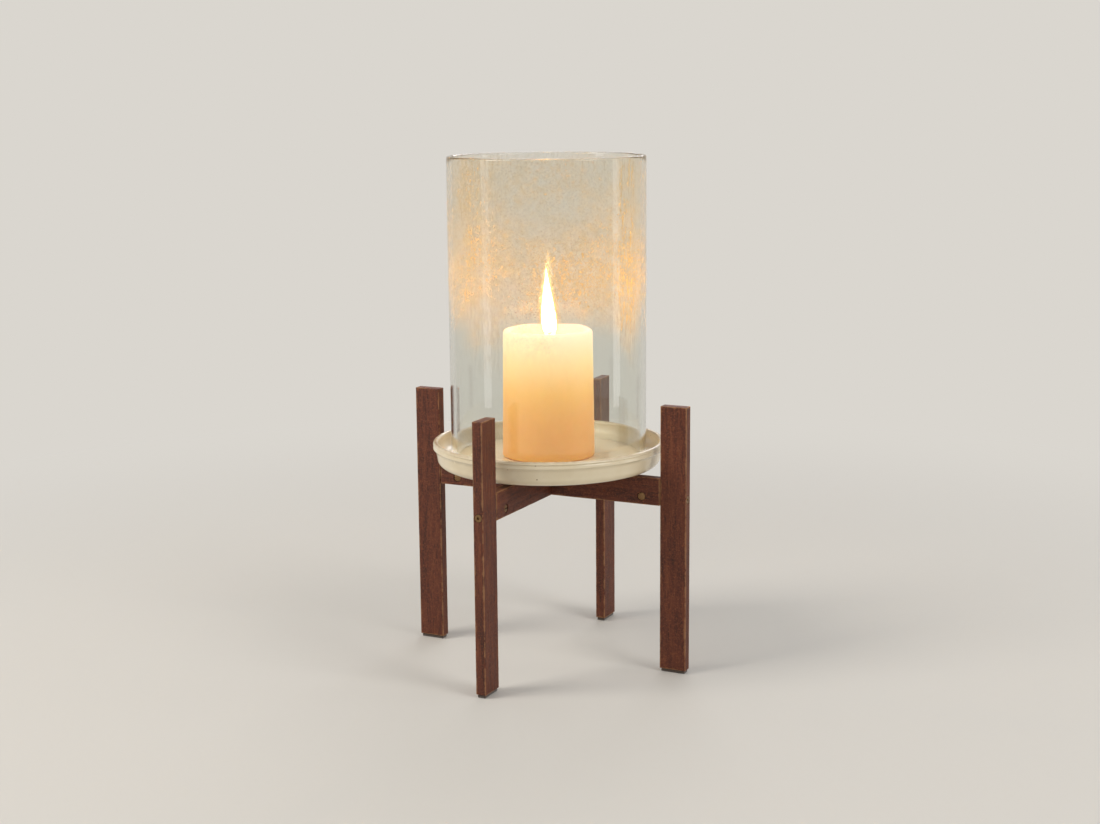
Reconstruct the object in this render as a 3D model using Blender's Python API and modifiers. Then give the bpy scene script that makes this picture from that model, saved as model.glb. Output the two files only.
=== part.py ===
"""Hurricane candle holder, in metres, +Z up, standing on its feet at the origin.

A pillar candle stands under a clear glass sleeve in a shallow glazed dish. The dish rests on two half-lapped
crossbars between four slat legs. A countersunk screw draws each leg up to its crossbar through a barrel nut,
and a dowel beside the screw keeps the leg upright. Dish, glass and candle lift off along Z.
"""

import math

import bmesh
import bpy

MM = 0.001

# Clearance between pieces that stand on, or are cut around, each other
SEAT_GAP = 0.3 * MM

# Glass sleeve, open at both ends
GLASS_DIAMETER = 150 * MM
GLASS_HEIGHT = 228 * MM
GLASS_WALL = 4 * MM
GLASS_RIM_ROUND = 1.6 * MM
GLASS_FOOT_ROUND = 1 * MM

# Dish: the lip is how far the rim stands out past the outer wall
GLASS_CLEARANCE = 2 * MM
DISH_DEPTH = 12 * MM
DISH_FLOOR = 7 * MM
DISH_COVE = 8 * MM
DISH_RIM = 4 * MM
DISH_LIP = 1.6 * MM
DISH_LIP_DROP = 5 * MM
DISH_TAPER = 1.5 * MM
DISH_CORNER = 6 * MM
FOOT_RING_INSET = 12 * MM
FOOT_RING_WIDTH = 6 * MM
FOOT_RING_HEIGHT = 3 * MM
FOOT_RING_ROUND = 1 * MM

# Candle: the crown is the rounded edge left standing round the melted well
CANDLE_BASE_DIAMETER = 71 * MM
CANDLE_TOP_DIAMETER = 68.6 * MM
CANDLE_HEIGHT = 98 * MM
CANDLE_CROWN = 6 * MM
CANDLE_FOOT_ROUND = 1.5 * MM
WELL_DEPTH = 11 * MM
WICK_DIAMETER = 2.4 * MM
WICK_EXPOSED = 12 * MM
WICK_CURL = math.radians(65)
TAB_DIAMETER = 20 * MM
TAB_THICKNESS = 0.8 * MM
TAB_NECK_HEIGHT = 4 * MM
TAB_NECK_WALL = 0.6 * MM

# Stand: legs and crossbars are cut from one slat section
SLAT_WIDTH = 21 * MM
SLAT_THICKNESS = 8 * MM
SLAT_EASE = 0.8 * MM
LEG_LENGTH = 203 * MM
LEG_RISE = 33 * MM
LEG_CLEARANCE = 5.5 * MM
FELT_THICKNESS = 2 * MM
FELT_INSET = 0.8 * MM
FELT_EASE = 0.4 * MM

# Leg joints: screw below the middle of the crossbar, dowel above it
FASTENER_SPREAD = 9 * MM
SCREW_DIAMETER = 3 * MM
SCREW_HEAD_DIAMETER = 5.6 * MM
SCREW_HEAD_EDGE = 0.3 * MM
SCREW_SINK = 0.2 * MM
SCREW_OVERRUN = 2 * MM
SCREW_TIP = 0.8 * MM
KEY_SIZE = 2 * MM
KEY_DEPTH = 1.2 * MM
NUT_DIAMETER = 6 * MM
NUT_SETBACK = 15 * MM
NUT_INSET = 0.4 * MM
NUT_SLOT = 1 * MM
NUT_SLOT_DEPTH = 0.7 * MM
DOWEL_DIAMETER = 4 * MM
DOWEL_LENGTH = 20 * MM
DOWEL_EASE = 0.5 * MM

# Facets round each kind of turned piece
GLASS_STEPS = 64
DISH_STEPS = 64
CANDLE_STEPS = 48
TAB_STEPS = 24
FASTENER_STEPS = 16

# Cutters run this far past the face they open
CUT_MARGIN = 1 * MM

# The four sides of the stand, by their turn about Z
SIDES = {"right": 0, "back": 90, "left": 180, "front": 270}

# Radii worked out from the centre line outwards
GLASS_RADIUS = GLASS_DIAMETER / 2
DISH_FLOOR_RADIUS = GLASS_RADIUS + GLASS_CLEARANCE
DISH_RADIUS = DISH_FLOOR_RADIUS + DISH_COVE + DISH_RIM
LEG_INNER = DISH_RADIUS + LEG_CLEARANCE
LEG_OUTER = LEG_INNER + SLAT_WIDTH
LEG_MIDDLE = (LEG_INNER + LEG_OUTER) / 2
BAR_END = LEG_INNER - SEAT_GAP
NUT_PLACE = BAR_END - NUT_SETBACK
SCREW_PLACE = LEG_OUTER - SCREW_SINK
SCREW_LENGTH = SCREW_PLACE - NUT_PLACE + NUT_DIAMETER / 2 + SCREW_OVERRUN
DOWEL_PLACE = LEG_INNER - SEAT_GAP / 2
WICK_BORE = WICK_DIAMETER / 2 + SEAT_GAP
TAB_NECK = WICK_BORE + TAB_NECK_WALL

# Levels worked out from the floor upwards
DISH_HEIGHT = FOOT_RING_HEIGHT + DISH_FLOOR + DISH_DEPTH
LEG_FOOT = FELT_THICKNESS + SEAT_GAP
RIM_LEVEL = LEG_FOOT + LEG_LENGTH - LEG_RISE
DISH_LEVEL = RIM_LEVEL - DISH_HEIGHT
STANDING_LEVEL = RIM_LEVEL - DISH_DEPTH + SEAT_GAP
BAR_LEVEL = DISH_LEVEL - SEAT_GAP - SLAT_WIDTH / 2
SCREW_LEVEL = BAR_LEVEL - FASTENER_SPREAD / 2
DOWEL_LEVEL = BAR_LEVEL + FASTENER_SPREAD / 2


# Scene, finishes and placing


def clear_scene():
    for obj in list(bpy.data.objects):
        bpy.data.objects.remove(obj)


def new_collection(name):
    collection = bpy.data.collections.new(name)
    bpy.context.scene.collection.children.link(collection)
    return collection


def finish(name, colour, roughness, metallic=0.0):
    """A plain surface. The colour is in linear values."""
    material = bpy.data.materials.new(name)
    material.use_nodes = True
    surface = material.node_tree.nodes["Principled BSDF"]
    surface.inputs["Base Color"].default_value = (*colour, 1.0)
    surface.inputs["Roughness"].default_value = roughness
    surface.inputs["Metallic"].default_value = metallic
    return material


def glass_finish(name, colour, roughness):
    material = finish(name, colour, roughness)
    surface = material.node_tree.nodes["Principled BSDF"]
    surface.inputs["Transmission Weight"].default_value = 1.0
    surface.inputs["IOR"].default_value = 1.5
    return material


def place(name, data, collection, at=(0, 0, 0), turn=(0, 0, 0), carrier=None):
    """Puts a mesh, a curve or, with no data, an empty into a collection."""
    obj = bpy.data.objects.new(name, data)
    collection.objects.link(obj)
    obj.location = at
    obj.rotation_euler = turn
    obj.parent = carrier
    return obj


def as_cutter(obj):
    obj.hide_render = True
    obj.display_type = "WIRE"
    return obj


def cut(obj, *cutters):
    for cutter in cutters:
        boolean = obj.modifiers.new("Cut " + cutter.name, "BOOLEAN")
        boolean.operation = "DIFFERENCE"
        boolean.object = cutter


def ease_edges(obj, width):
    bevel = obj.modifiers.new("Eased edges", "BEVEL")
    bevel.width = width
    bevel.segments = 1
    bevel.limit_method = "ANGLE"


# Shapes


def mesh_of(shape, name, material=None):
    mesh = bpy.data.meshes.new(name)
    shape.to_mesh(mesh)
    shape.free()
    if material:
        mesh.materials.append(material)
    return mesh


def block(name, size, material=None):
    """A box centred on its origin."""
    shape = bmesh.new()
    bmesh.ops.create_cube(shape, size=1.0)
    bmesh.ops.scale(shape, vec=size, verts=shape.verts)
    return mesh_of(shape, name, material)


def rod(name, radius, length, sides, material=None):
    """A cylinder along Z, centred on its origin."""
    shape = bmesh.new()
    bmesh.ops.create_cone(
        shape, cap_ends=True, segments=sides, radius1=radius, radius2=radius, depth=length
    )
    mesh = mesh_of(shape, name, material)
    mesh.shade_smooth()
    mesh.set_sharp_from_angle(angle=math.radians(40))
    return mesh


def outline_mesh(name, outline, closed, material=None):
    """The (radius, height) points of a turned profile as edges in the XZ plane."""
    shape = bmesh.new()
    corners = [shape.verts.new((radius, 0.0, height)) for radius, height in outline]
    for start, end in zip(corners, corners[1:]):
        shape.edges.new((start, end))
    if closed:
        shape.edges.new((corners[-1], corners[0]))
    return mesh_of(shape, name, material)


def turn_about_z(obj, steps):
    screw = obj.modifiers.new("Turned", "SCREW")
    screw.axis = "Z"
    screw.angle = math.tau
    screw.steps = steps
    screw.render_steps = steps
    screw.use_merge_vertices = True
    screw.merge_threshold = 0.00001
    screw.use_smooth_shade = True
    return obj


def arc(centre, radii, start, end, steps):
    """Points on an ellipse in the (radius, height) plane, from one angle in degrees to another."""
    points = []
    for step in range(steps + 1):
        angle = math.radians(start + (end - start) * step / steps)
        points.append((centre[0] + radii[0] * math.cos(angle), centre[1] + radii[1] * math.sin(angle)))
    return points


# Outlines of the turned pieces, each running down its outer side


def glass_outline():
    inner = GLASS_RADIUS - GLASS_WALL
    rim = min(GLASS_RIM_ROUND, 0.4 * GLASS_WALL)
    foot = min(GLASS_FOOT_ROUND, 0.4 * GLASS_WALL)
    rim_level = GLASS_HEIGHT - rim
    return (
        arc((inner + rim, rim_level), (rim, rim), 180, 90, 3)
        + arc((GLASS_RADIUS - rim, rim_level), (rim, rim), 90, 0, 3)
        + arc((GLASS_RADIUS - foot, foot), (foot, foot), 0, -90, 2)
        + arc((inner + foot, foot), (foot, foot), -90, -180, 2)
    )


def dish_outline():
    half_rim = DISH_RIM / 2
    rim_level = DISH_HEIGHT - half_rim
    wall = DISH_RADIUS - DISH_LIP
    base = wall - DISH_TAPER - DISH_CORNER
    ring_outer = base - FOOT_RING_INSET
    ring_inner = ring_outer - FOOT_RING_WIDTH
    ring_round = min(FOOT_RING_ROUND, 0.4 * FOOT_RING_WIDTH, 0.4 * FOOT_RING_HEIGHT)
    cove = arc((DISH_FLOOR_RADIUS, rim_level), (DISH_COVE, DISH_DEPTH - half_rim), -90, 0, 6)
    rim = arc((DISH_RADIUS - half_rim, rim_level), (half_rim, half_rim), 180, 0, 6)
    return (
        [(0.0, FOOT_RING_HEIGHT + DISH_FLOOR)]
        + cove
        + rim[1:]
        + [(wall, DISH_HEIGHT - DISH_LIP_DROP)]
        + arc((base, FOOT_RING_HEIGHT + DISH_CORNER), (DISH_CORNER, DISH_CORNER), 0, -90, 4)
        + [
            (ring_outer, FOOT_RING_HEIGHT),
            (ring_outer, ring_round),
            (ring_outer - ring_round, 0.0),
            (ring_inner + ring_round, 0.0),
            (ring_inner, ring_round),
            (ring_inner, FOOT_RING_HEIGHT),
            (0.0, FOOT_RING_HEIGHT),
        ]
    )


def candle_outline():
    crown = CANDLE_CROWN / 2
    top = CANDLE_TOP_DIAMETER / 2
    base = CANDLE_BASE_DIAMETER / 2
    crown_level = CANDLE_HEIGHT - crown
    well_radii = (top - CANDLE_CROWN, WELL_DEPTH - crown)
    bore_angle = -math.degrees(math.acos(WICK_BORE / well_radii[0]))
    tab_recess = TAB_DIAMETER / 2 + SEAT_GAP
    tab_top = TAB_THICKNESS + SEAT_GAP
    neck_recess = TAB_NECK + SEAT_GAP
    neck_top = tab_top + TAB_NECK_HEIGHT
    return (
        arc((0.0, crown_level), well_radii, bore_angle, 0, 7)
        + arc((top - crown, crown_level), (crown, crown), 180, 0, 6)[1:]
        + arc((base - CANDLE_FOOT_ROUND, CANDLE_FOOT_ROUND), (CANDLE_FOOT_ROUND,) * 2, 0, -90, 2)
        + [
            (tab_recess, 0.0),
            (tab_recess, tab_top),
            (neck_recess, tab_top),
            (neck_recess, neck_top),
            (WICK_BORE, neck_top),
        ]
    )


def tab_outline():
    neck_top = TAB_THICKNESS + TAB_NECK_HEIGHT
    return [
        (WICK_BORE, neck_top),
        (TAB_NECK, neck_top),
        (TAB_NECK, TAB_THICKNESS),
        (TAB_DIAMETER / 2, TAB_THICKNESS),
        (TAB_DIAMETER / 2, 0.0),
        (WICK_BORE, 0.0),
    ]


def screw_outline(gap=0.0, rise=0.0):
    """A countersunk screw with its head's face at height 0. The gap and the rise turn it into its own cutter."""
    head = SCREW_HEAD_DIAMETER / 2 + gap
    shank = SCREW_DIAMETER / 2 + gap
    length = SCREW_LENGTH + gap
    return [
        (0.0, rise),
        (head, rise),
        (head, -SCREW_HEAD_EDGE),
        (shank, -SCREW_HEAD_EDGE - (head - shank)),
        (shank, SCREW_TIP - length),
        (shank - SCREW_TIP / 2, -length),
        (0.0, -length),
    ]


# The lifting pieces


def build_dish(parts, glaze):
    mesh = outline_mesh("dish", dish_outline(), False, glaze)
    turn_about_z(place("dish", mesh, parts, at=(0, 0, DISH_LEVEL)), DISH_STEPS)


def build_glass(parts, glass):
    mesh = outline_mesh("glass_sleeve", glass_outline(), True, glass)
    turn_about_z(place("glass_sleeve", mesh, parts, at=(0, 0, STANDING_LEVEL)), GLASS_STEPS)


def wick_route():
    """Straight up from the tab, then curling over above the melted well."""
    curl_steps = 6
    bend_level = CANDLE_HEIGHT - WELL_DEPTH + WICK_DIAMETER
    stride = (WICK_EXPOSED - WICK_DIAMETER) / curl_steps
    points = [(0.0, 0.0, 0.0), (0.0, 0.0, bend_level)]
    for step in range(curl_steps):
        lean = WICK_CURL * (step + 0.5) / curl_steps
        x, y, z = points[-1]
        points.append((x + stride * math.sin(lean), y, z + stride * math.cos(lean)))
    return points


def build_candle(parts, wax, cotton, tin):
    seat = place("candle_seat", None, parts, at=(0, 0, STANDING_LEVEL))
    body = outline_mesh("candle_wax", candle_outline(), True, wax)
    turn_about_z(place("candle_wax", body, parts, carrier=seat), CANDLE_STEPS)
    tab = outline_mesh("wick_tab", tab_outline(), True, tin)
    turn_about_z(place("wick_tab", tab, parts, carrier=seat), TAB_STEPS)

    route = wick_route()
    curve = bpy.data.curves.new("wick", "CURVE")
    curve.dimensions = "3D"
    curve.bevel_depth = WICK_DIAMETER / 2
    curve.bevel_resolution = 2
    curve.use_fill_caps = True
    spline = curve.splines.new("POLY")
    spline.points.add(len(route) - 1)
    for point, spot in zip(spline.points, route):
        point.co = (*spot, 1.0)
    curve.materials.append(cotton)
    place("wick", curve, parts, carrier=seat)


# The stand


def build_side(side, angle, parts, cutters, finishes):
    """One leg with its felt, screw, barrel nut and dowel. Returns the cutters that its crossbar needs too."""
    carrier = place("stand_" + side, None, parts, turn=(0, 0, math.radians(angle)))
    along_x = (0, math.pi / 2, 0)
    along_y = (math.pi / 2, 0, 0)

    mesh = outline_mesh("cut_screw_" + side, screw_outline(SEAT_GAP, CUT_MARGIN), False)
    cutter = place(mesh.name, mesh, cutters, (SCREW_PLACE, 0, SCREW_LEVEL), along_x, carrier)
    cut_screw = as_cutter(turn_about_z(cutter, FASTENER_STEPS))

    mesh = rod(
        "cut_dowel_" + side, DOWEL_DIAMETER / 2 + SEAT_GAP, DOWEL_LENGTH + 2 * SEAT_GAP, FASTENER_STEPS
    )
    cut_dowel = as_cutter(place(mesh.name, mesh, cutters, (DOWEL_PLACE, 0, DOWEL_LEVEL), along_x, carrier))

    mesh = rod(
        "cut_nut_" + side, NUT_DIAMETER / 2 + SEAT_GAP, SLAT_THICKNESS + 2 * CUT_MARGIN, FASTENER_STEPS
    )
    cut_nut = as_cutter(place(mesh.name, mesh, cutters, (NUT_PLACE, 0, SCREW_LEVEL), along_y, carrier))

    mesh = rod("cut_key_" + side, KEY_SIZE / math.sqrt(3), 2 * KEY_DEPTH, 6)
    cut_key = as_cutter(place(mesh.name, mesh, cutters, (SCREW_PLACE, 0, SCREW_LEVEL), along_x, carrier))

    nut_length = SLAT_THICKNESS - 2 * NUT_INSET
    slot_place = (NUT_PLACE, nut_length / 2, SCREW_LEVEL)
    mesh = block("cut_slot_" + side, (NUT_DIAMETER + 2 * CUT_MARGIN, 2 * NUT_SLOT_DEPTH, NUT_SLOT))
    cut_slot = as_cutter(place(mesh.name, mesh, cutters, slot_place, carrier=carrier))

    mesh = block("leg_" + side, (SLAT_WIDTH, SLAT_THICKNESS, LEG_LENGTH), finishes["wood"])
    leg = place(mesh.name, mesh, parts, (LEG_MIDDLE, 0, LEG_FOOT + LEG_LENGTH / 2), carrier=carrier)
    ease_edges(leg, SLAT_EASE)
    cut(leg, cut_screw, cut_dowel)

    felt_size = (SLAT_WIDTH - 2 * FELT_INSET, SLAT_THICKNESS - 2 * FELT_INSET, FELT_THICKNESS)
    mesh = block("felt_pad_" + side, felt_size, finishes["felt"])
    felt = place(mesh.name, mesh, parts, (LEG_MIDDLE, 0, FELT_THICKNESS / 2), carrier=carrier)
    ease_edges(felt, FELT_EASE)

    mesh = outline_mesh("leg_screw_" + side, screw_outline(), False, finishes["steel"])
    screw = place(mesh.name, mesh, parts, (SCREW_PLACE, 0, SCREW_LEVEL), along_x, carrier)
    turn_about_z(screw, FASTENER_STEPS)
    cut(screw, cut_key)

    mesh = rod("barrel_nut_" + side, NUT_DIAMETER / 2, nut_length, FASTENER_STEPS, finishes["steel"])
    nut = place(mesh.name, mesh, parts, (NUT_PLACE, 0, SCREW_LEVEL), along_y, carrier)
    cut(nut, cut_screw, cut_slot)

    mesh = rod("dowel_" + side, DOWEL_DIAMETER / 2, DOWEL_LENGTH, FASTENER_STEPS, finishes["beech"])
    dowel = place(mesh.name, mesh, parts, (DOWEL_PLACE, 0, DOWEL_LEVEL), along_x, carrier)
    ease_edges(dowel, DOWEL_EASE)
    return [cut_screw, cut_dowel, cut_nut]


def build_crossbar(name, angle, lap_level, end_cutters, parts, cutters, wood):
    """A slat on edge between two opposite legs. Its lap is open above or below the other bar's."""
    turn = (0, 0, math.radians(angle))
    lap_size = (
        SLAT_THICKNESS + 2 * SEAT_GAP,
        SLAT_THICKNESS + 2 * CUT_MARGIN,
        SLAT_WIDTH / 2 + CUT_MARGIN + SEAT_GAP / 2,
    )
    mesh = block("cut_lap_" + name, lap_size)
    cut_lap = as_cutter(place(mesh.name, mesh, cutters, (0, 0, lap_level), turn))

    mesh = block(name, (2 * BAR_END, SLAT_THICKNESS, SLAT_WIDTH), wood)
    bar = place(name, mesh, parts, (0, 0, BAR_LEVEL), turn)
    ease_edges(bar, SLAT_EASE)
    cut(bar, cut_lap, *end_cutters)


def build_stand(parts, cutters, finishes):
    ends = {}
    for side, angle in SIDES.items():
        ends[side] = build_side(side, angle, parts, cutters, finishes)
    lap_offset = (SLAT_WIDTH / 2 + CUT_MARGIN - SEAT_GAP / 2) / 2
    build_crossbar(
        "crossbar_left_right",
        SIDES["right"],
        BAR_LEVEL + lap_offset,
        ends["left"] + ends["right"],
        parts,
        cutters,
        finishes["wood"],
    )
    build_crossbar(
        "crossbar_front_back",
        SIDES["back"],
        BAR_LEVEL - lap_offset,
        ends["front"] + ends["back"],
        parts,
        cutters,
        finishes["wood"],
    )


def main():
    clear_scene()
    parts = new_collection("hurricane_candle_holder")
    cutters = new_collection("cutters")
    stand_finishes = {
        "wood": finish("dark_stained_wood", (0.075, 0.030, 0.015), 0.65),
        "felt": finish("brown_felt", (0.045, 0.035, 0.028), 0.95),
        "steel": finish("bronze_plated_steel", (0.19, 0.12, 0.07), 0.4, 1.0),
        "beech": finish("beech_dowel", (0.55, 0.36, 0.20), 0.6),
    }
    build_stand(parts, cutters, stand_finishes)
    build_dish(parts, finish("cream_glaze", (0.78, 0.70, 0.56), 0.25))
    build_glass(parts, glass_finish("clear_glass", (0.95, 0.97, 0.95), 0.02))
    build_candle(
        parts,
        finish("ivory_wax", (0.86, 0.74, 0.52), 0.45),
        finish("charred_cotton", (0.03, 0.025, 0.02), 0.9),
        finish("tin_plate", (0.60, 0.60, 0.58), 0.3, 1.0),
    )


main()
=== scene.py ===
"""Looks of the hurricane candle holder: fine meshes and finishes for its pieces, on a plain pale floor."""

import math

import bmesh
import bpy
from mathutils import Matrix, Vector, noise


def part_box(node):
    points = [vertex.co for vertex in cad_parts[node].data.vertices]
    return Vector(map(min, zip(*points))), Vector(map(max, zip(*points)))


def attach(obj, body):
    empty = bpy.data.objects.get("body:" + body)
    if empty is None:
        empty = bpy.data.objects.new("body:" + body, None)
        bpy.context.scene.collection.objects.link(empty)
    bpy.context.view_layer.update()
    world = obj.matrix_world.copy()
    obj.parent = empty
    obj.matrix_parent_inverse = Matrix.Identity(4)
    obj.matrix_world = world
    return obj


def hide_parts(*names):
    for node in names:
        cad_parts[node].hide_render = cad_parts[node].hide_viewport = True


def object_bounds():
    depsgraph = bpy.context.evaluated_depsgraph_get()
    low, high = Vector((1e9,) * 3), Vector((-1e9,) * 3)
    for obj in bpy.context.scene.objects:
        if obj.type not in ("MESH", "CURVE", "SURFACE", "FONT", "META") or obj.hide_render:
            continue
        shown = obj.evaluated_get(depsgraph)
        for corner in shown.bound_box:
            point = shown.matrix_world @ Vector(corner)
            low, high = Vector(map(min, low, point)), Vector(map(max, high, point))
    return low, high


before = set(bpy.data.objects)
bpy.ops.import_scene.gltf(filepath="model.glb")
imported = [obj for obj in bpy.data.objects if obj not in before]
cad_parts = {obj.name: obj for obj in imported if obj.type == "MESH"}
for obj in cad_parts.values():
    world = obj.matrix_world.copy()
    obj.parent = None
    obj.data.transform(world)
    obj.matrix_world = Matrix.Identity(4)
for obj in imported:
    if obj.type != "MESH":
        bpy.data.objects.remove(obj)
cad_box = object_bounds()

MM = 0.001

# Points nearer to each other than this count as one
WELD = 0.001 * MM

# The four sides of the stand, by their turn about Z in degrees
SIDES = {"right": 0, "back": 90, "left": 180, "front": 270}
UP = Vector((0, 0, 1))


# Boxes of the nodes that the finer pieces stand in for


def middle(node):
    low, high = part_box(node)
    return (low + high) / 2


def extent(node):
    low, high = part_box(node)
    return high - low


def top_of(node):
    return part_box(node)[1].z


# Mesh tools

# Segments across an edge that is rounded over
EASE_STEPS = 2


def arc(centre, radii, start, end, steps):
    """Points on an ellipse in the (radius, height) plane, from one angle in degrees to another."""
    points = []
    for step in range(steps + 1):
        angle = math.radians(start + (end - start) * step / steps)
        points.append((centre[0] + radii[0] * math.cos(angle), centre[1] + radii[1] * math.sin(angle)))
    return points


def run(start, end, steps):
    """Points along a straight stretch of an outline, without its two ends."""
    first = Vector(start)
    last = Vector(end)
    return [tuple(first.lerp(last, step / steps)) for step in range(1, steps)]


def turned(outline, steps, closed=False):
    """Spins an outline of (radius, height) points round the centre line."""
    shape = bmesh.new()
    points = [shape.verts.new((radius, 0, height)) for radius, height in outline]
    for first, second in zip(points, points[1:]):
        shape.edges.new((first, second))
    if closed:
        shape.edges.new((points[-1], points[0]))
    geometry = shape.verts[:] + shape.edges[:]
    bmesh.ops.spin(
        shape, geom=geometry, cent=(0, 0, 0), axis=UP, angle=math.tau, steps=steps, use_merge=True
    )
    bmesh.ops.remove_doubles(shape, verts=shape.verts, dist=WELD)
    bmesh.ops.recalc_face_normals(shape, faces=shape.faces)
    return shape


def rod(radius, start, end, sides):
    """A cylinder between two points."""
    axis = Vector(end) - Vector(start)
    place = Matrix.Translation(Vector(start) + axis / 2) @ axis.to_track_quat("Z", "Y").to_matrix().to_4x4()
    shape = bmesh.new()
    bmesh.ops.create_cone(
        shape, cap_ends=True, segments=sides, radius1=radius, radius2=radius, depth=axis.length, matrix=place
    )
    return shape


def block(corner, opposite):
    """A box between two opposite corners."""
    size = opposite - corner
    shape = bmesh.new()
    bmesh.ops.create_cube(shape, size=1)
    bmesh.ops.scale(shape, vec=[abs(side) for side in size], verts=shape.verts)
    bmesh.ops.translate(shape, vec=corner + size / 2, verts=shape.verts)
    return shape


def ease(shape, edges, width):
    """Rounds edges over."""
    bmesh.ops.bevel(
        shape, geom=edges, offset=width, affect="EDGES", segments=EASE_STEPS, profile=0.5, material=-1
    )


def placed(name, data):
    """A new object in the scene, at the origin."""
    obj = bpy.data.objects.new(name, data)
    bpy.context.collection.objects.link(obj)
    return obj


def solid_of(name, shape):
    """A new object that takes its mesh from a bmesh."""
    mesh = bpy.data.meshes.new(name)
    shape.to_mesh(mesh)
    shape.free()
    return placed(name, mesh)


def bored(solid, cutters):
    """The solid with each cutter taken out of it."""
    body = solid_of("bored", solid)
    tools = [solid_of("cutter", cutter) for cutter in cutters]
    for tool in tools:
        modifier = body.modifiers.new("Bored", "BOOLEAN")
        modifier.operation = "DIFFERENCE"
        modifier.object = tool
    result = bmesh.new()
    result.from_object(body, bpy.context.evaluated_depsgraph_get())
    for obj in [body, *tools]:
        mesh = obj.data
        bpy.data.objects.remove(obj)
        bpy.data.meshes.remove(mesh)
    return result


def add_piece(name, shape, finishes, body, replaced=(), sharp=35):
    """Turns a bmesh into a piece at the origin that moves with its body. Edges that bend by more degrees than
    sharp stay crisp."""
    piece = solid_of(name, shape)
    for finish in finishes:
        piece.data.materials.append(finish)
    piece.data.shade_smooth()
    piece.data.set_sharp_from_angle(angle=math.radians(sharp))
    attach(piece, body)
    if replaced:
        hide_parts(*replaced)
    return piece


def drift(spot, size, seed=0.0):
    """Smooth noise from -1 to 1 whose lumps are about as large as the given size."""
    return noise.noise(Vector(spot) / size + Vector((seed, seed, seed)))


def share(spot, size, seed=0.0):
    """The same noise from 0 to 1."""
    return 0.5 + 0.5 * drift(spot, size, seed)


def sink(vert, depth, size, seed=0.0):
    """Draws a point in towards the centre line, unevenly and by no more than the depth."""
    wave = depth * (drift(vert.co, size, seed) - 1) / 2
    vert.co.xy *= 1 + wave / vert.co.xy.length


def one_axis(axis, there, elsewhere):
    """Three values, one of them for the given axis and the other for the rest."""
    return tuple(there if index == axis else elsewhere for index in range(3))


# Material tools


def colour(code):
    """Linear colour of an sRGB hex value."""
    values = []
    for start in (0, 2, 4):
        value = int(code[start:start + 2], 16) / 255
        values.append(value / 12.92 if value <= 0.04045 else ((value + 0.055) / 1.055) ** 2.4)
    return (*values, 1.0)


def add(tree, kind, inputs=(), **settings):
    """Adds a shader node. Its inputs are a list, in the order of those in use, or a table by name. Each takes
    another node, one output of a node, or a plain value."""
    node = tree.nodes.new("ShaderNode" + kind)
    for name, value in settings.items():
        setattr(node, name, value)
    if isinstance(inputs, dict):
        pairs = [(node.inputs[name], value) for name, value in inputs.items()]
    else:
        pairs = zip([socket for socket in node.inputs if socket.enabled], inputs)
    for socket, value in pairs:
        if isinstance(value, bpy.types.Node):
            value = next(output for output in value.outputs if output.enabled)
        if isinstance(value, bpy.types.NodeSocket):
            tree.links.new(value, socket)
        else:
            socket.default_value = value
    return node


def new_finish(name):
    """An empty material, its tree, and the spot on the piece that its patterns are drawn from."""
    material = bpy.data.materials.new(name)
    material.use_nodes = True
    tree = material.node_tree
    tree.nodes.clear()
    return material, tree, add(tree, "TexCoord").outputs["Object"]


def finished(material, *shaders):
    """The material with its surface, and its depth where it has one, joined to its output."""
    add(material.node_tree, "OutputMaterial", shaders)
    return material


def mottle(tree, spot, size, first, second, **pattern):
    """Noise of a real size, and a colour that wanders with it from a first to a second."""
    cloud = add(tree, "TexNoise", {"Vector": spot, "Scale": 1 / size, **pattern})
    tone = add(tree, "Mix", [cloud, colour(first), colour(second)], data_type="RGBA")
    return cloud, tone


def blotches(tree, spot, size, window, result, **pattern):
    """Noise of a real size, with a window of its values stretched to the range of the result."""
    cloud = add(tree, "TexNoise", {"Vector": spot, "Scale": 1 / size, **pattern})
    return add(tree, "MapRange", [cloud, *window, *result])


def fill_ramp(ramp, stops):
    """Sets a ramp's colours from their places, in rising order."""
    places = list(stops)
    elements = ramp.color_ramp.elements
    for end in (0, -1):
        elements[end].position = places[end]
        elements[end].color = colour(stops[places[end]])
    for place in places[1:-1]:
        elements.new(place).color = colour(stops[place])


# Glass sleeve

GLASS_WALL = 4 * MM
GLASS_RIM_ROUND = 1.6 * MM
GLASS_RIM_STEPS = 6
GLASS_FOOT_ROUND = 1 * MM
GLASS_FOOT_STEPS = 4
GLASS_STEPS = 192
GLASS_LEVELS = 48
GLASS_WAVE = 0.10 * MM
GLASS_WAVE_SIZE = 45 * MM

# Sizes of the pattern in the film of soot and dust, and how far its lower edge wanders up and down
FILM_WISP = 11 * MM
FILM_PATCH = 55 * MM
FILM_RUN = 2.4 * MM
FILM_RAGGED = 14 * MM

# Coarser than real dust, so that it shows
FILM_GRAIN = 1.6 * MM

# Wisps and runs hang down the glass, drawn out by these shares
WISP_DRAW = 0.6
RUN_DRAW = 0.2

# Where the film starts, is full and thins follows the flame's light on the glass: painted light and shade
# Heights above the candle's top at which the film and its runs start and are full, and the film thins again
FILM_START = -15 * MM
FILM_FULL = 35 * MM
RUNS_START = -34 * MM
RUNS_FULL = 10 * MM
THINNING_START = 60 * MM

# How much of the film is left below its edge, in painted shade, and at the mouth, and what lies evenly
# between its wisps
FILM_BELOW = 0.06
FILM_AT_MOUTH = 0.5
FILM_EVEN = 0.03

# Upright bands of runs: the turn of each from the front and its spread in degrees, and how thick its runs are
FILM_BANDS = {"right": (77, 11, 0.75), "left": (-14, 20, 0.45)}


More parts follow.
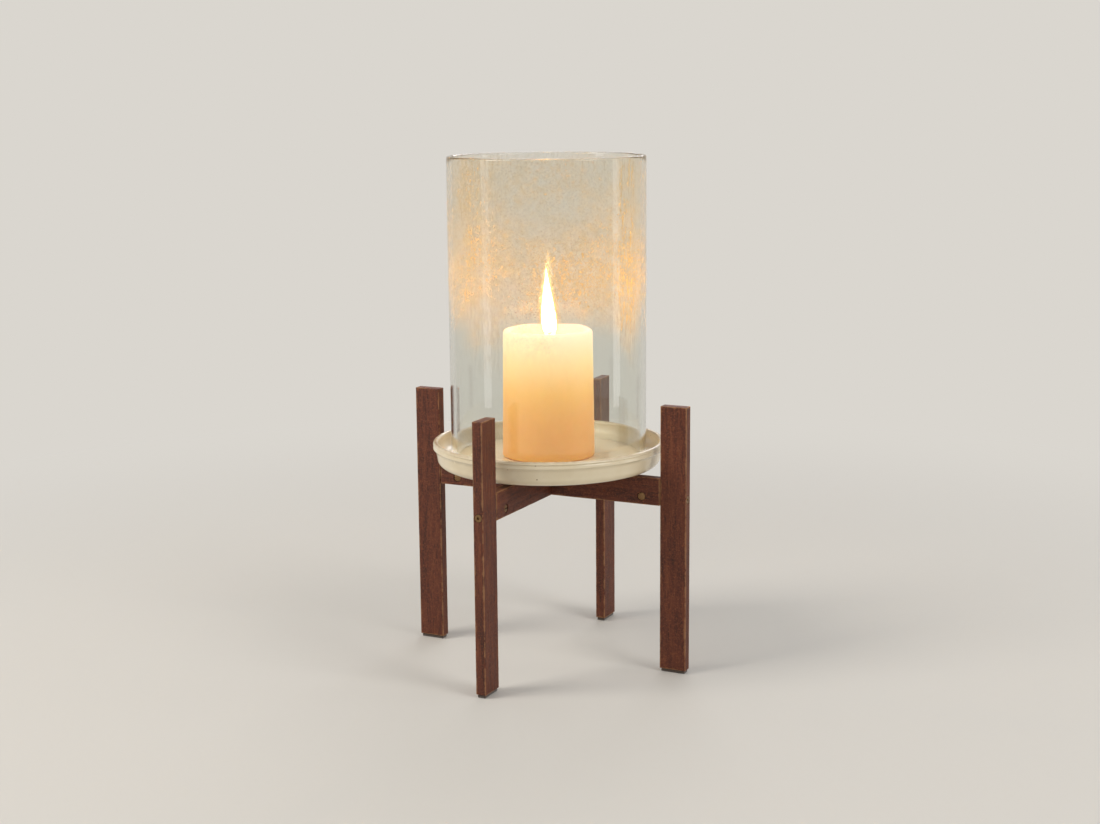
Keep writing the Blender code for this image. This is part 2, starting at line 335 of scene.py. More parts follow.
def make_glass():
    """An open tube with a rounded rim and foot, faintly wavy as drawn glass is."""
    low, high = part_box("glass_sleeve")
    outer = high.x
    inner = outer - GLASS_WALL
    rim = GLASS_RIM_ROUND
    foot = GLASS_FOOT_ROUND
    rim_level = high.z - rim
    foot_level = low.z + foot
    outline = (
        arc((inner + rim, rim_level), (rim, rim), 180, 90, GLASS_RIM_STEPS)
        + arc((outer - rim, rim_level), (rim, rim), 90, 0, GLASS_RIM_STEPS)
        + run((outer, rim_level), (outer, foot_level), GLASS_LEVELS)
        + arc((outer - foot, foot_level), (foot, foot), 0, -90, GLASS_FOOT_STEPS)
        + arc((inner + foot, foot_level), (foot, foot), -90, -180, GLASS_FOOT_STEPS)
        + run((inner, foot_level), (inner, rim_level), GLASS_LEVELS)
    )
    shape = turned(outline, GLASS_STEPS, closed=True)
    for vert in shape.verts:
        sink(vert, GLASS_WAVE, GLASS_WAVE_SIZE)
    glass = add_piece("glass_sleeve_clear", shape, [clear_glass()], "glass", ["glass_sleeve"])
    # The flame and the lamps shine through clear glass
    glass.visible_shadow = False


def film_runs(tree, spot, turn, spread, strength):
    """Fine upright streaks in one band of the film, full in its middle third and fading out to its sides."""
    angle = math.radians(turn)
    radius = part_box("glass_sleeve")[1].x
    facing = (math.sin(angle) / radius, -math.cos(angle) / radius, 0)
    towards = add(tree, "VectorMath", [spot, facing], operation="DOT_PRODUCT")
    edge = math.cos(math.radians(spread))
    core = math.cos(math.radians(spread / 3))
    inside = add(tree, "MapRange", [towards, edge, core], interpolation_type="SMOOTHSTEP")
    upright = add(tree, "Mapping", {"Vector": spot, "Scale": one_axis(2, RUN_DRAW, 1)})
    streaks = blotches(tree, upright, FILM_RUN, (0.42, 0.72), (0, strength), Detail=7, Roughness=0.7)
    return add(tree, "Math", [inside, streaks], operation="MULTIPLY")


def soot_film_and_light(tree, spot):
    """How thick the film is: wisps, grains and barer patches that end raggedly below the flame and thin out
    towards the mouth, with the bands of runs over them. Its ragged lower edge and its thinning are painted
    shade and a painted fall of the flame's light on the glass."""
    candle_top = top_of("candle_wax")
    height = add(tree, "SeparateXYZ", [spot]).outputs["Z"]
    hanging = add(tree, "Mapping", {"Vector": spot, "Scale": one_axis(2, WISP_DRAW, 1)})
    wisps = blotches(
        tree, hanging, FILM_WISP, (0.46, 0.76), (0, 0.40), Detail=8, Roughness=0.7, Distortion=1.6
    )
    grains = blotches(tree, spot, FILM_GRAIN, (0.56, 0.72), (0, 0.55), Detail=1)
    patches = blotches(tree, spot, FILM_PATCH, (0.36, 0.62), (0.2, 1), Detail=2)
    ragged = blotches(tree, spot, FILM_PATCH, (0.35, 0.65), (-FILM_RAGGED, FILM_RAGGED), Detail=2)
    level = add(tree, "Math", [height, ragged], operation="ADD")
    # Painted shade: the film is mostly left out below about the candle's top, which hides the flame from the
    # glass
    rise = [level, candle_top + FILM_START, candle_top + FILM_FULL, FILM_BELOW]
    flame_lit_rise = add(tree, "MapRange", rise, interpolation_type="SMOOTHSTEP")
    high_grains = add(tree, "Math", [grains, flame_lit_rise], operation="MULTIPLY")
    soiled = add(tree, "Math", [wisps, high_grains], operation="ADD")
    patchy = add(tree, "Math", [soiled, patches], operation="MULTIPLY")
    covered = add(tree, "Math", [patchy, FILM_EVEN], operation="ADD")
    edged = add(tree, "Math", [covered, flame_lit_rise], operation="MULTIPLY")
    # Painted fall of the flame's light: the film thins towards the mouth
    fall = [height, candle_top + THINNING_START, top_of("glass_sleeve"), 1, FILM_AT_MOUTH]
    thinning = add(tree, "MapRange", fall)
    film = add(tree, "Math", [edged, thinning], operation="MULTIPLY")
    runs_rise = [level, candle_top + RUNS_START, candle_top + RUNS_FULL]
    runs_settled = add(tree, "MapRange", runs_rise, interpolation_type="SMOOTHSTEP")
    for turn, spread, strength in FILM_BANDS.values():
        band = film_runs(tree, spot, turn, spread, strength)
        runs = add(tree, "Math", [band, runs_settled], operation="MULTIPLY")
        film = add(tree, "Math", [film, runs], operation="ADD", use_clamp=True)
    return film


def clear_glass():
    """Drawn soda-lime glass: clear, a little green in its depth, with a thin amber film of soot and dust that
    catches the light in wisps, runs and specks, its amount painted to follow the flame's light on the glass."""
    material, tree, spot = new_finish("soda_lime_glass_with_soot_film")
    film = soot_film_and_light(tree, spot)
    rough = add(tree, "MapRange", {"Value": film, "From Max": 0.5, "To Min": 0.01, "To Max": 0.10})
    look = {"Base Color": colour("F4F5F2"), "Roughness": rough, "IOR": 1.5, "Transmission Weight": 1.0}
    glass = add(tree, "BsdfPrincipled", look)
    haze = add(tree, "BsdfTranslucent", {"Color": colour("E6BE70")})
    dust = add(tree, "BsdfDiffuse", {"Color": colour("D2B078")})
    soot = add(tree, "MixShader", [0.5, haze, dust])
    surface = add(tree, "MixShader", [film, glass, soot])
    depth = add(tree, "VolumeAbsorption", {"Color": colour("D6D8CC"), "Density": 30.0})
    return finished(material, surface, depth)


# Dish

DISH_DEPTH = 12 * MM
DISH_COVE = 8 * MM
DISH_RIM = 4 * MM
DISH_LIP = 1.6 * MM
DISH_LIP_DROP = 5 * MM
DISH_LIP_ANGLE = 60
DISH_TAPER = 1.5 * MM
DISH_CORNER = 6 * MM
FOOT_RING_INSET = 12 * MM
FOOT_RING_WIDTH = 6 * MM
FOOT_RING_HEIGHT = 3 * MM
FOOT_RING_ROUND = 1 * MM
DISH_STEPS = 192
DISH_BOWL_STEPS = 14
DISH_WALL_STEPS = 5
DISH_BASE_STEPS = 10
FOOT_RING_STEPS = 4
DISH_WAVE = 0.15 * MM
DISH_WAVE_SIZE = 60 * MM

# The share of the foot ring's height that was wiped free of glaze
BARE_SHARE = 0.6

# Sizes of the pattern in the glaze and the clay
GLAZE_MOTTLE = 14 * MM
GLAZE_PULL = 6 * MM
GLAZE_PEEL = 4 * MM
GLAZE_EDGE = 1.6 * MM
IRON_SPACING = 5 * MM

# Coarser than real grit, so that it shows
CLAY_GRIT = 1.2 * MM

# How strongly the specks and the thin edge show
SPECK_STRENGTH = 0.7
EDGE_STRENGTH = 0.55


def make_dish():
    """A thrown dish with a coved floor, a rolled rim with a lip under it, and a foot ring."""
    low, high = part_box("dish")
    radius = high.x
    half_rim = DISH_RIM / 2
    rim_level = high.z - half_rim
    lip_level = high.z - DISH_LIP_DROP
    floor_radius = radius - DISH_RIM - DISH_COVE
    floor_level = high.z - DISH_DEPTH
    wall = radius - DISH_LIP
    base = wall - DISH_TAPER - DISH_CORNER
    underside = low.z + FOOT_RING_HEIGHT
    corner_level = underside + DISH_CORNER
    ring_outer = base - FOOT_RING_INSET
    ring_inner = ring_outer - FOOT_RING_WIDTH
    ring_round = FOOT_RING_ROUND
    ring_level = low.z + ring_round
    outline = (
        [(0, floor_level)]
        + run((0, floor_level), (floor_radius, floor_level), DISH_BOWL_STEPS)
        + arc((floor_radius, rim_level), (DISH_COVE, DISH_DEPTH - half_rim), -90, 0, DISH_BOWL_STEPS)
        + arc((radius - half_rim, rim_level), (half_rim, half_rim), 180, 0, DISH_BOWL_STEPS)[1:]
        + arc((wall, lip_level), (DISH_LIP, DISH_LIP_DROP - half_rim), DISH_LIP_ANGLE, 0, DISH_WALL_STEPS)
        + run((wall, lip_level), (base + DISH_CORNER, corner_level), DISH_WALL_STEPS)
        + arc((base, corner_level), (DISH_CORNER, DISH_CORNER), 0, -90, DISH_BASE_STEPS)
        + [(ring_outer, underside)]
        + arc((ring_outer - ring_round, ring_level), (ring_round, ring_round), 0, -90, FOOT_RING_STEPS)
        + arc((ring_inner + ring_round, ring_level), (ring_round, ring_round), -90, -180, FOOT_RING_STEPS)
        + [(ring_inner, underside)]
        + run((ring_inner, underside), (0, underside), DISH_BASE_STEPS)
        + [(0, underside)]
    )
    shape = turned(outline, DISH_STEPS)
    for vert in shape.verts:
        if vert.co.z > floor_level + half_rim or vert.co.xy.length > base:
            sink(vert, DISH_WAVE, DISH_WAVE_SIZE, seed=3)
    bare_below = low.z + BARE_SHARE * FOOT_RING_HEIGHT
    for face in shape.faces:
        if face.calc_center_median().z < bare_below:
            face.material_index = 1
    finishes = [cream_glaze(), bare_stoneware()]
    add_piece("dish_glazed", shape, finishes, "dish", ["dish"], sharp=50)


def iron_specks(tree, spot):
    """Sparse round specks of several sizes."""
    iron = add(tree, "TexVoronoi", {"Vector": spot, "Scale": 1 / IRON_SPACING})
    chance = add(tree, "SeparateColor", [iron.outputs["Color"]])
    reach = add(tree, "MapRange", {"Value": chance, "From Min": 0.55, "To Max": 0.11})
    inside = add(tree, "Math", [iron, reach], operation="LESS_THAN")
    return add(tree, "Math", [inside, SPECK_STRENGTH], operation="MULTIPLY")


def pulled_edge(tree, spot):
    """Where the glaze pulled back from the top of the rim."""
    rim_top = top_of("dish")
    height = add(tree, "SeparateXYZ", [spot]).outputs["Z"]
    edge = add(tree, "MapRange", [height, rim_top - GLAZE_EDGE, rim_top])
    uneven = blotches(tree, spot, GLAZE_PULL, (0.35, 0.65), (0.2, 1), Detail=3)
    thinned = add(tree, "Math", [edge, uneven], operation="MULTIPLY")
    return add(tree, "Math", [thinned, EDGE_STRENGTH], operation="MULTIPLY")


def cream_glaze():
    """Dipped cream glaze fired on stoneware: glossy, faintly mottled, with sparse iron specks, and thin and
    brown where it pulled back from the edge of the rim."""
    material, tree, spot = new_finish("cream_glaze_on_stoneware")
    clouds, cream = mottle(tree, spot, GLAZE_MOTTLE, "E9DCC0", "DCCBA8", Detail=5, Roughness=0.55)
    specks = iron_specks(tree, spot)
    specked = add(tree, "Mix", [specks, cream, colour("7A5636")], data_type="RGBA")
    edge = pulled_edge(tree, spot)
    edged = add(tree, "Mix", [edge, specked, colour("A87B4C")], data_type="RGBA")
    peel = add(tree, "TexNoise", {"Vector": spot, "Scale": 1 / GLAZE_PEEL, "Detail": 2})
    ripple = add(tree, "Bump", {"Height": peel, "Strength": 0.25, "Distance": 0.15 * MM})
    rough = add(tree, "MapRange", {"Value": clouds, "To Min": 0.16, "To Max": 0.32})
    look = {
        "Base Color": edged,
        "Roughness": rough,
        "IOR": 1.52,
        "Normal": ripple,
        "Coat Weight": 0.3,
        "Coat Roughness": 0.08,
    }
    return finished(material, add(tree, "BsdfPrincipled", look))


def bare_stoneware():
    """Unglazed fired clay on the foot ring: buff, matt and gritty."""
    material, tree, spot = new_finish("bare_stoneware")
    grit, clay = mottle(tree, spot, CLAY_GRIT, "A98963", "C9AC86", Detail=4)
    tooth = add(tree, "Bump", {"Height": grit, "Strength": 0.5, "Distance": 0.2 * MM})
    surface = add(tree, "BsdfPrincipled", {"Base Color": clay, "Roughness": 0.85, "Normal": tooth})
    return finished(material, surface)


# Candle

CANDLE_TOP_RADIUS = 34.3 * MM
CANDLE_CROWN = 6 * MM
CANDLE_FOOT_ROUND = 1.5 * MM
WELL_DEPTH = 11 * MM
POOL_DEPTH = 4 * MM
CANDLE_STEPS = 160
CANDLE_LEVELS = 40
WELL_STEPS = 10
CROWN_STEPS = 14
CANDLE_FOOT_STEPS = 5
CANDLE_BASE_STEPS = 6

# How far the crown slumps, how large its lumps are and how far down they reach, and the dents in the side
CROWN_SLUMP = 1.8 * MM
CROWN_LUMP = 22 * MM
CROWN_REACH = 12 * MM
WAX_DENT = 0.25 * MM
WAX_DENT_SIZE = 16 * MM

# Sizes of the pattern in the wax, how far light travels in it, and how the mould's rings are drawn out
WAX_CLOUD = 18 * MM
MOULD_RING = 2.5 * MM
POOL_SKIN = 9 * MM
WAX_DEPTH = 9 * MM
RING_DRAW = 0.2

# Colour of the flame's painted glow inside the wax from the foot up to the crown, its strength there, and its
# fall
WAX_GLOW = {0.0: "E8700E", 0.30: "F5921E", 0.52: "FFC15A", 0.74: "FFE6AC", 1.0: "FFF6E4"}
GLOW_AT_FOOT = 0.21
GLOW_AT_CROWN = 0.85
GLOW_FALL = 1.5


def make_candle():
    """A slightly tapered pillar, with a slumped crown round the well that holds the melted wax."""
    low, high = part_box("candle_wax")
    base = high.x
    crown = CANDLE_CROWN / 2
    crown_level = high.z - crown
    foot = CANDLE_FOOT_ROUND
    foot_level = low.z + foot
    well = (CANDLE_TOP_RADIUS - CANDLE_CROWN, WELL_DEPTH - crown)
    pool_level = high.z - WELL_DEPTH + POOL_DEPTH
    pool_angle = -math.degrees(math.asin((crown_level - pool_level) / well[1]))
    pool_radius = well[0] * math.cos(math.radians(pool_angle))
    outline = (
        [(0, pool_level)]
        + run((0, pool_level), (pool_radius, pool_level), WELL_STEPS)
        + arc((0, crown_level), well, pool_angle, 0, WELL_STEPS)
        + arc((CANDLE_TOP_RADIUS - crown, crown_level), (crown, crown), 180, 0, CROWN_STEPS)[1:]
        + run((CANDLE_TOP_RADIUS, crown_level), (base, foot_level), CANDLE_LEVELS)
        + arc((base - foot, foot_level), (foot, foot), 0, -90, CANDLE_FOOT_STEPS)
        + run((base - foot, low.z), (0, low.z), CANDLE_BASE_STEPS)
        + [(0, low.z)]
    )
    shape = turned(outline, CANDLE_STEPS)
    for face in shape.faces:
        spot = face.calc_center_median()
        if spot.z < pool_level + WELD and spot.z > low.z + CANDLE_CROWN and spot.xy.length < pool_radius:
            face.material_index = 1
    for vert in shape.verts:
        if vert.co.xy.length > pool_radius:
            near_top = max(0, 1 - (high.z - vert.co.z) / CROWN_REACH)
            slump = share((vert.co.x, vert.co.y, 0), CROWN_LUMP, seed=7)
            sink(vert, WAX_DENT, WAX_DENT_SIZE, seed=5)
            vert.co.z -= CROWN_SLUMP * slump * near_top ** 2
    finishes = [ivory_wax(), molten_wax()]
    add_piece("candle_pillar", shape, finishes, "candle", ["candle_wax"], sharp=60)


def painted_wax_glow(tree, spot):
    """Painted glow of the flame's light inside the wax: near white at the crown, amber and weak towards the
    foot.
    """
    low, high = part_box("candle_wax")
    level = add(tree, "SeparateXYZ", [spot]).outputs["Z"]
    height = add(tree, "MapRange", [level, low.z, high.z])
    tint = add(tree, "ValToRGB", [height])
    fill_ramp(tint, WAX_GLOW)
    fall = add(tree, "Math", [height, GLOW_FALL], operation="POWER")
    strength = add(tree, "MapRange", {"Value": fall, "To Min": GLOW_AT_FOOT, "To Max": GLOW_AT_CROWN})
    return tint, strength


def ivory_wax():
    """Cast paraffin in ivory: dense but translucent, with the flame's glow inside it painted in as emission,
    and a soft bloomed sheen, faint clouding and shallow marks from the mould and from handling."""
    material, tree, spot = new_finish("ivory_paraffin_wax")
    clouds, ivory = mottle(tree, spot, WAX_CLOUD, "D9AE70", "D1A363", Detail=4)
    level_rings = add(tree, "Mapping", {"Vector": spot, "Scale": one_axis(2, 1, RING_DRAW)})
    rings = add(tree, "TexNoise", {"Vector": level_rings, "Scale": 1 / MOULD_RING, "Detail": 3})
    marks = add(tree, "Bump", {"Height": rings, "Strength": 0.18, "Distance": 0.2 * MM})
    rough = add(tree, "MapRange", {"Value": clouds, "To Min": 0.36, "To Max": 0.52})
    glow_colour, glow_strength = painted_wax_glow(tree, spot)
    look = {
        "Base Color": ivory,
        "Roughness": rough,
        "IOR": 1.44,
        "Normal": marks,
        "Subsurface Weight": 0.6,
        "Subsurface Radius": (1.0, 0.5, 0.2),
        "Subsurface Scale": WAX_DEPTH,
        # The flame's glow inside the wax, painted in as emission
        "Emission Color": glow_colour,
        "Emission Strength": glow_strength,
    }
    return finished(material, add(tree, "BsdfPrincipled", look))


def molten_wax():
    """The clear pool of melted wax in the well: wet, warm and mirror-smooth, with the flame's light on it
    painted in as a glow.
    """
    material, tree, spot = new_finish("molten_wax")
    skin, amber = mottle(tree, spot, POOL_SKIN, "F3DDA6", "E4BE78", Detail=2)
    swell = add(tree, "Bump", {"Height": skin, "Strength": 0.08, "Distance": 0.2 * MM})
    look = {
        "Base Color": amber,
        "Roughness": 0.14,
        "IOR": 1.44,
        "Normal": swell,
        # Painted glow of the flame's light on the pool
        "Emission Color": colour("FFE2A0"),
        "Emission Strength": 0.7,
    }
    return finished(material, add(tree, "BsdfPrincipled", look))


# Wick

WICK_DIAMETER = 2.4 * MM
WICK_EXPOSED = 12 * MM
WICK_CURL = math.radians(65)
WICK_STRANDS = 3
WICK_PITCH = 5 * MM
WICK_SIDES = 24
WICK_STRIDE = 0.35 * MM

# How far the strands and the fuzz on them stand out, as shares of the wick's radius
STRAND_RELIEF = 0.14
FUZZ_RELIEF = 0.05
FUZZ_SIZE = 1.5 * MM

ASH_FLAKE = 0.5 * MM
EMBER_LENGTH = 2.5 * MM


def wick_route():
    """Straight up through the melted pool, then curling over."""
    bend = top_of("candle_wax") - WELL_DEPTH + WICK_DIAMETER
    straight = round(WICK_EXPOSED / WICK_STRIDE)
    curled = round((WICK_EXPOSED - WICK_DIAMETER) / WICK_STRIDE)
    points = [Vector((0, 0, bend - WICK_EXPOSED + WICK_STRIDE * step)) for step in range(straight)]
    for step in range(curled):
        lean = WICK_CURL * (step + 0.5) / curled
        points.append(points[-1] + WICK_STRIDE * Vector((math.sin(lean), 0, math.cos(lean))))
    return points


def make_wick():
    """Three twisted strands that follow the curl, as a ring of points carried along the route."""
    route = wick_route()
    across = Vector((0, 1, 0))
    shape = bmesh.new()
    rings = []
    for step, spot in enumerate(route):
        ahead = route[min(step + 1, len(route) - 1)]
        behind = route[max(step - 1, 0)]
        up = across.cross((ahead - behind).normalized())
        twist = math.tau * step * WICK_STRIDE / WICK_PITCH
        ring = []
        for side in range(WICK_SIDES):
            angle = math.tau * side / WICK_SIDES
            strand = 1 - STRAND_RELIEF + STRAND_RELIEF * math.cos(WICK_STRANDS * (angle - twist))
            fuzz = 1 + FUZZ_RELIEF * drift(spot + across * side * MM, FUZZ_SIZE)
            reach = WICK_DIAMETER / 2 * strand * fuzz
            ring.append(shape.verts.new(spot + reach * (math.cos(angle) * up + math.sin(angle) * across)))
        rings.append(ring)
    loops = []
    for ring in rings:
        loops.append([shape.edges.new((ring[side - 1], ring[side])) for side in range(WICK_SIDES)])
    for first, second in zip(loops, loops[1:]):
        bmesh.ops.bridge_loops(shape, edges=first + second)
    bmesh.ops.holes_fill(shape, edges=loops[0] + loops[-1], sides=WICK_SIDES)
    bmesh.ops.recalc_face_normals(shape, faces=shape.faces)
    add_piece("wick_braid", shape, [charred_wick()], "candle", ["wick"], sharp=70)


def charred_wick():
    """Braided cotton burnt to char: dead black, with ash at the strands and an ember at the tip."""
    material, tree, spot = new_finish("charred_cotton_braid")
    tip = wick_route()[-1].z
    ash, char = mottle(tree, spot, ASH_FLAKE, "0E0B09", "3A322C", Detail=4)
    height = add(tree, "SeparateXYZ", [spot]).outputs["Z"]
    rise = {"Value": height, "From Min": tip - EMBER_LENGTH, "From Max": tip, "To Max": 4.0}
    ember = add(tree, "MapRange", rise)
    fibre = add(tree, "Bump", {"Height": ash, "Strength": 0.6, "Distance": 0.1 * MM})
    look = {
        "Base Color": char,
        "Roughness": 0.95,
        "Normal": fibre,
        "Emission Color": colour("FF5A14"),
        "Emission Strength": ember,
    }
    return finished(material, add(tree, "BsdfPrincipled", look))


# Flame

# How far below the wick's tip it starts, its size, and the share of its height at which it is widest
FLAME_BASE = 6.5 * MM
FLAME_HEIGHT = 54 * MM
FLAME_RADIUS = 5.6 * MM
FLAME_WIDEST = 0.26
FLAME_STEPS = 32
FLAME_LEVELS = 36

# How far its root is drawn towards the wick's tip, and how far its own tip leans the other way
FLAME_ROOT = 2.2 * MM
FLAME_LEAN = 0.8 * MM

# How strongly the levels crowd together at the root, and how late the flame draws in to its tip
FLAME_CROWDING = 1.3
FLAME_TIP = 3

# Colour of the flame from its root to its tip
FLAME_TINT = {0.0: "5A66C8", 0.08: "E87A28", 0.22: "FFD799", 0.65: "FFDDA4", 1.0: "FFC670"}

# Mantles round the flame: how much wider and taller than the flame each is, and how dense
FLAME_MANTLES = {"inner": (1.14, 1.02, 0.45), "middle": (1.36, 1.05, 0.22), "outer": (1.70, 1.10, 0.08)}


def flame_foot():
    return wick_route()[-1].z - FLAME_BASE


def flame_shape(spread, rise):
    """A teardrop round the top of the wick, widest a quarter of the way up and drawn out to a fine tip."""
    foot = flame_foot()
    height = FLAME_HEIGHT * rise
    outline = [(0, foot)]
    for level in range(1, FLAME_LEVELS):
        climb = (level / FLAME_LEVELS) ** FLAME_CROWDING
        swell = climb / FLAME_WIDEST
        width = math.sqrt(swell) * math.exp((1 - swell) / 2) * (1 - climb ** FLAME_TIP)
        outline.append((FLAME_RADIUS * spread * width, foot + height * climb))
    outline.append((0, foot + height))
    shape = turned(outline, FLAME_STEPS)
    for vert in shape.verts:
        climb = (vert.co.z - foot) / FLAME_HEIGHT
        vert.co.x += FLAME_ROOT * (1 - climb) ** 2 - FLAME_LEAN * climb
    return shape


def make_flame():
    add_piece("flame_core", flame_shape(1.0, 1.0), [flame_light()], "candle", sharp=80)
    for name, (spread, rise, density) in FLAME_MANTLES.items():
        finish = flame_mantle(name, rise, density)
        shape = flame_shape(spread, rise)
        mantle = add_piece("flame_mantle_" + name, shape, [finish], "candle", sharp=80)
        mantle.visible_shadow = False


def flame_height(tree, spot, rise):
    """0 at the root of the flame, 1 at its tip."""
    level = add(tree, "SeparateXYZ", [spot]).outputs["Z"]
    foot = flame_foot()
    tip = foot + FLAME_HEIGHT * rise
    return add(tree, "MapRange", [level, foot, tip])


def see_through(material, dense, light):
    """The material with light where it is dense, and clear elsewhere."""
    tree = material.node_tree
    clear = add(tree, "BsdfTransparent")
    return finished(material, add(tree, "MixShader", [dense, clear, light]))


def flame_light():
    """Burning soot in the flame: blue and dim at the root, white-hot in the body, yellow at the tip."""
    material, tree, spot = new_finish("candle_flame_soot_glow")
    height = flame_height(tree, spot, 1.0)
    tint = add(tree, "ValToRGB", [height])
    fill_ramp(tint, FLAME_TINT)
    power = add(tree, "MapRange", {"Value": height, "From Max": 0.30, "To Min": 2.0, "To Max": 160.0})
    dense = add(tree, "MapRange", {"Value": height, "From Max": 0.24, "To Min": 0.10, "To Max": 1.0})
    light = add(tree, "Emission", {"Color": tint, "Strength": power})
    return see_through(material, dense, light)


def flame_mantle(name, rise, density):
    """Thin burning gas round the flame: orange and almost clear, thinning out towards the root."""
    material, tree, spot = new_finish("candle_flame_mantle_" + name)
    height = flame_height(tree, spot, rise)
    thinning = {"Value": height, "From Max": 0.45, "To Min": 0.1 * density, "To Max": density}
    dense = add(tree, "MapRange", thinning)
    light = add(tree, "Emission", {"Color": colour("FFC468"), "Strength": 2.0})
    return see_through(material, dense, light)


# Legs and crossbars

SLAT_EASE = 0.45 * MM
SLAT_GRID = 1.5 * MM
SAWN_DEPTH = 0.08 * MM
SAWN_SIZE = 9 * MM

# Edges chip where the noise along them rises past the start
EDGE_CHIP = 1.6 * MM
EDGE_CHIP_SIZE = 6 * MM
EDGE_CHIP_START = 0.25

# Room in the holes and in the half lap, and how far a cutter stands past the face that it cuts
SEAT_GAP = 0.3 * MM
CUT_MARGIN = 1 * MM

# Sizes of the pattern in the wood, and how far in from the edges the stain is rubbed off, which also paints a
# highlight along them
WOOD_STREAK = 3 * MM
WOOD_FLECK = 1.1 * MM
SAW_MARK = 1.6 * MM
RUB_SIZE = 8 * MM
RUB_LEAST = 0.1 * MM
RUB_MOST = 2.2 * MM

# Coarser than real pores, so that they show
WOOD_PORE = 0.7 * MM

# Streaks are drawn out along the grain, and saw marks across it
GRAIN_DRAW = 0.1
SAW_DRAW = 0.12

# Tones of the stain from the darkest streaks to the palest
WOOD_TONE = {0.30: "3C1C11", 0.50: "5A2B1A", 0.72: "743E25"}

# Seeds that give each slat its own grain
LEG_SEED_STEP = 3.7
CHIP_SEED_STEP = 11

# Crossbars: the sides that each joins, whether its half lap is cut from above, and its seed
CROSSBARS = {
    "crossbar_left_right": (("left", "right"), True, 17.3),
    "crossbar_front_back": (("front", "back"), False, 23.9),
}


def slat(node, seed):
    """A sawn slat in the node's box: edges rounded over, then chipped and worn unevenly."""
    centre = middle(node)
    half = extent(node) / 2
    shape = block(*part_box(node))
    for axis in range(3):
        for side in (-1, 1):
            place = centre.copy()
            place[axis] += side * (half[axis] - SLAT_EASE)
            geometry = shape.verts[:] + shape.edges[:] + shape.faces[:]
            bmesh.ops.bisect_plane(shape, geom=geometry, plane_co=place, plane_no=one_axis(axis, 1, 0))
        long_edges = [
            edge
            for edge in shape.edges
            if abs((edge.verts[0].co - edge.verts[1].co)[axis]) > 2 * SLAT_EASE
        ]
        cuts = round(2 * half[axis] / SLAT_GRID) - 1
        bmesh.ops.subdivide_edges(shape, edges=long_edges, cuts=cuts, use_grid_fill=True)
    for vert in shape.verts:
        local = vert.co - centre
        core = Vector([max(-h + SLAT_EASE, min(h - SLAT_EASE, x)) for x, h in zip(local, half)])
        out = local - core
        on_edge = sum(abs(x) > WELD for x in out) > 1
        reach = SLAT_EASE - SAWN_DEPTH * share(vert.co, SAWN_SIZE, seed)
        if on_edge:
            chip = max(0, drift(vert.co, EDGE_CHIP_SIZE, seed + CHIP_SEED_STEP) - EDGE_CHIP_START)
            reach -= EDGE_CHIP * chip ** 2
        if out.length > WELD:
            vert.co = centre + core + out.normalized() * reach
    bmesh.ops.recalc_face_normals(shape, faces=shape.faces)
    return shape


def make_leg(side, seed):
    node = "leg_" + side
    shape = bored(slat(node, seed), [screw_hole(side), dowel_hole(side)])
    add_piece(node + "_slat", shape, [stained_wood(node, 2, seed)], "stand", [node])


def half_lap(node, long_axis, from_above):
    """The notch where the other crossbar passes: half as deep as this one, and as wide as the other."""
    low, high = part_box(node)
    level = middle(node).z
    reach = extent(node)[1 - long_axis] / 2 + SEAT_GAP
    notch_high = Vector(one_axis(long_axis, reach, reach + CUT_MARGIN))
    notch_low = -notch_high
    if from_above:
        notch_low.z = level - SEAT_GAP / 2
        notch_high.z = high.z + CUT_MARGIN
    else:
        notch_low.z = low.z - CUT_MARGIN
        notch_high.z = level + SEAT_GAP / 2
    return block(notch_low, notch_high)


def make_crossbar(node, sides, lap_above, seed):
    size = extent(node)
    long_axis = 0 if size.x > size.y else 1
    cutters = [half_lap(node, long_axis, lap_above)]
    for side in sides:
        cutters += [screw_hole(side), dowel_hole(side), nut_hole(side)]
    shape = bored(slat(node, seed), cutters)
    wood = stained_wood(node, long_axis, seed)
    add_piece(node + "_slat", shape, [wood], "stand", [node])


def rubbed_and_highlit_edges(tree, spot, node):
    """Where the stain is rubbed off, partly real wear and partly a painted highlight along the edges, by how
    far a spot on the slat is from its nearest edge.
    """
    inset = add(tree, "VectorMath", [spot, middle(node)], operation="SUBTRACT")
    unsigned = add(tree, "VectorMath", [inset], operation="ABSOLUTE")
    depth = add(tree, "VectorMath", [extent(node) / 2, unsigned], operation="SUBTRACT")
    x, y, z = add(tree, "SeparateXYZ", [depth]).outputs
    lesser = add(tree, "Math", [x, y], operation="MINIMUM")
    greater = add(tree, "Math", [x, y], operation="MAXIMUM")
    next_least = add(tree, "Math", [greater, z], operation="MINIMUM")
    from_edge = add(tree, "Math", [lesser, next_least], operation="MAXIMUM")
    reach = blotches(tree, spot, RUB_SIZE, (0.35, 0.70), (RUB_LEAST, RUB_MOST), Detail=5, Roughness=0.65)
    return add(tree, "MapRange", {"Value": from_edge, "From Max": reach, "To Min": 0.8, "To Max": 0})


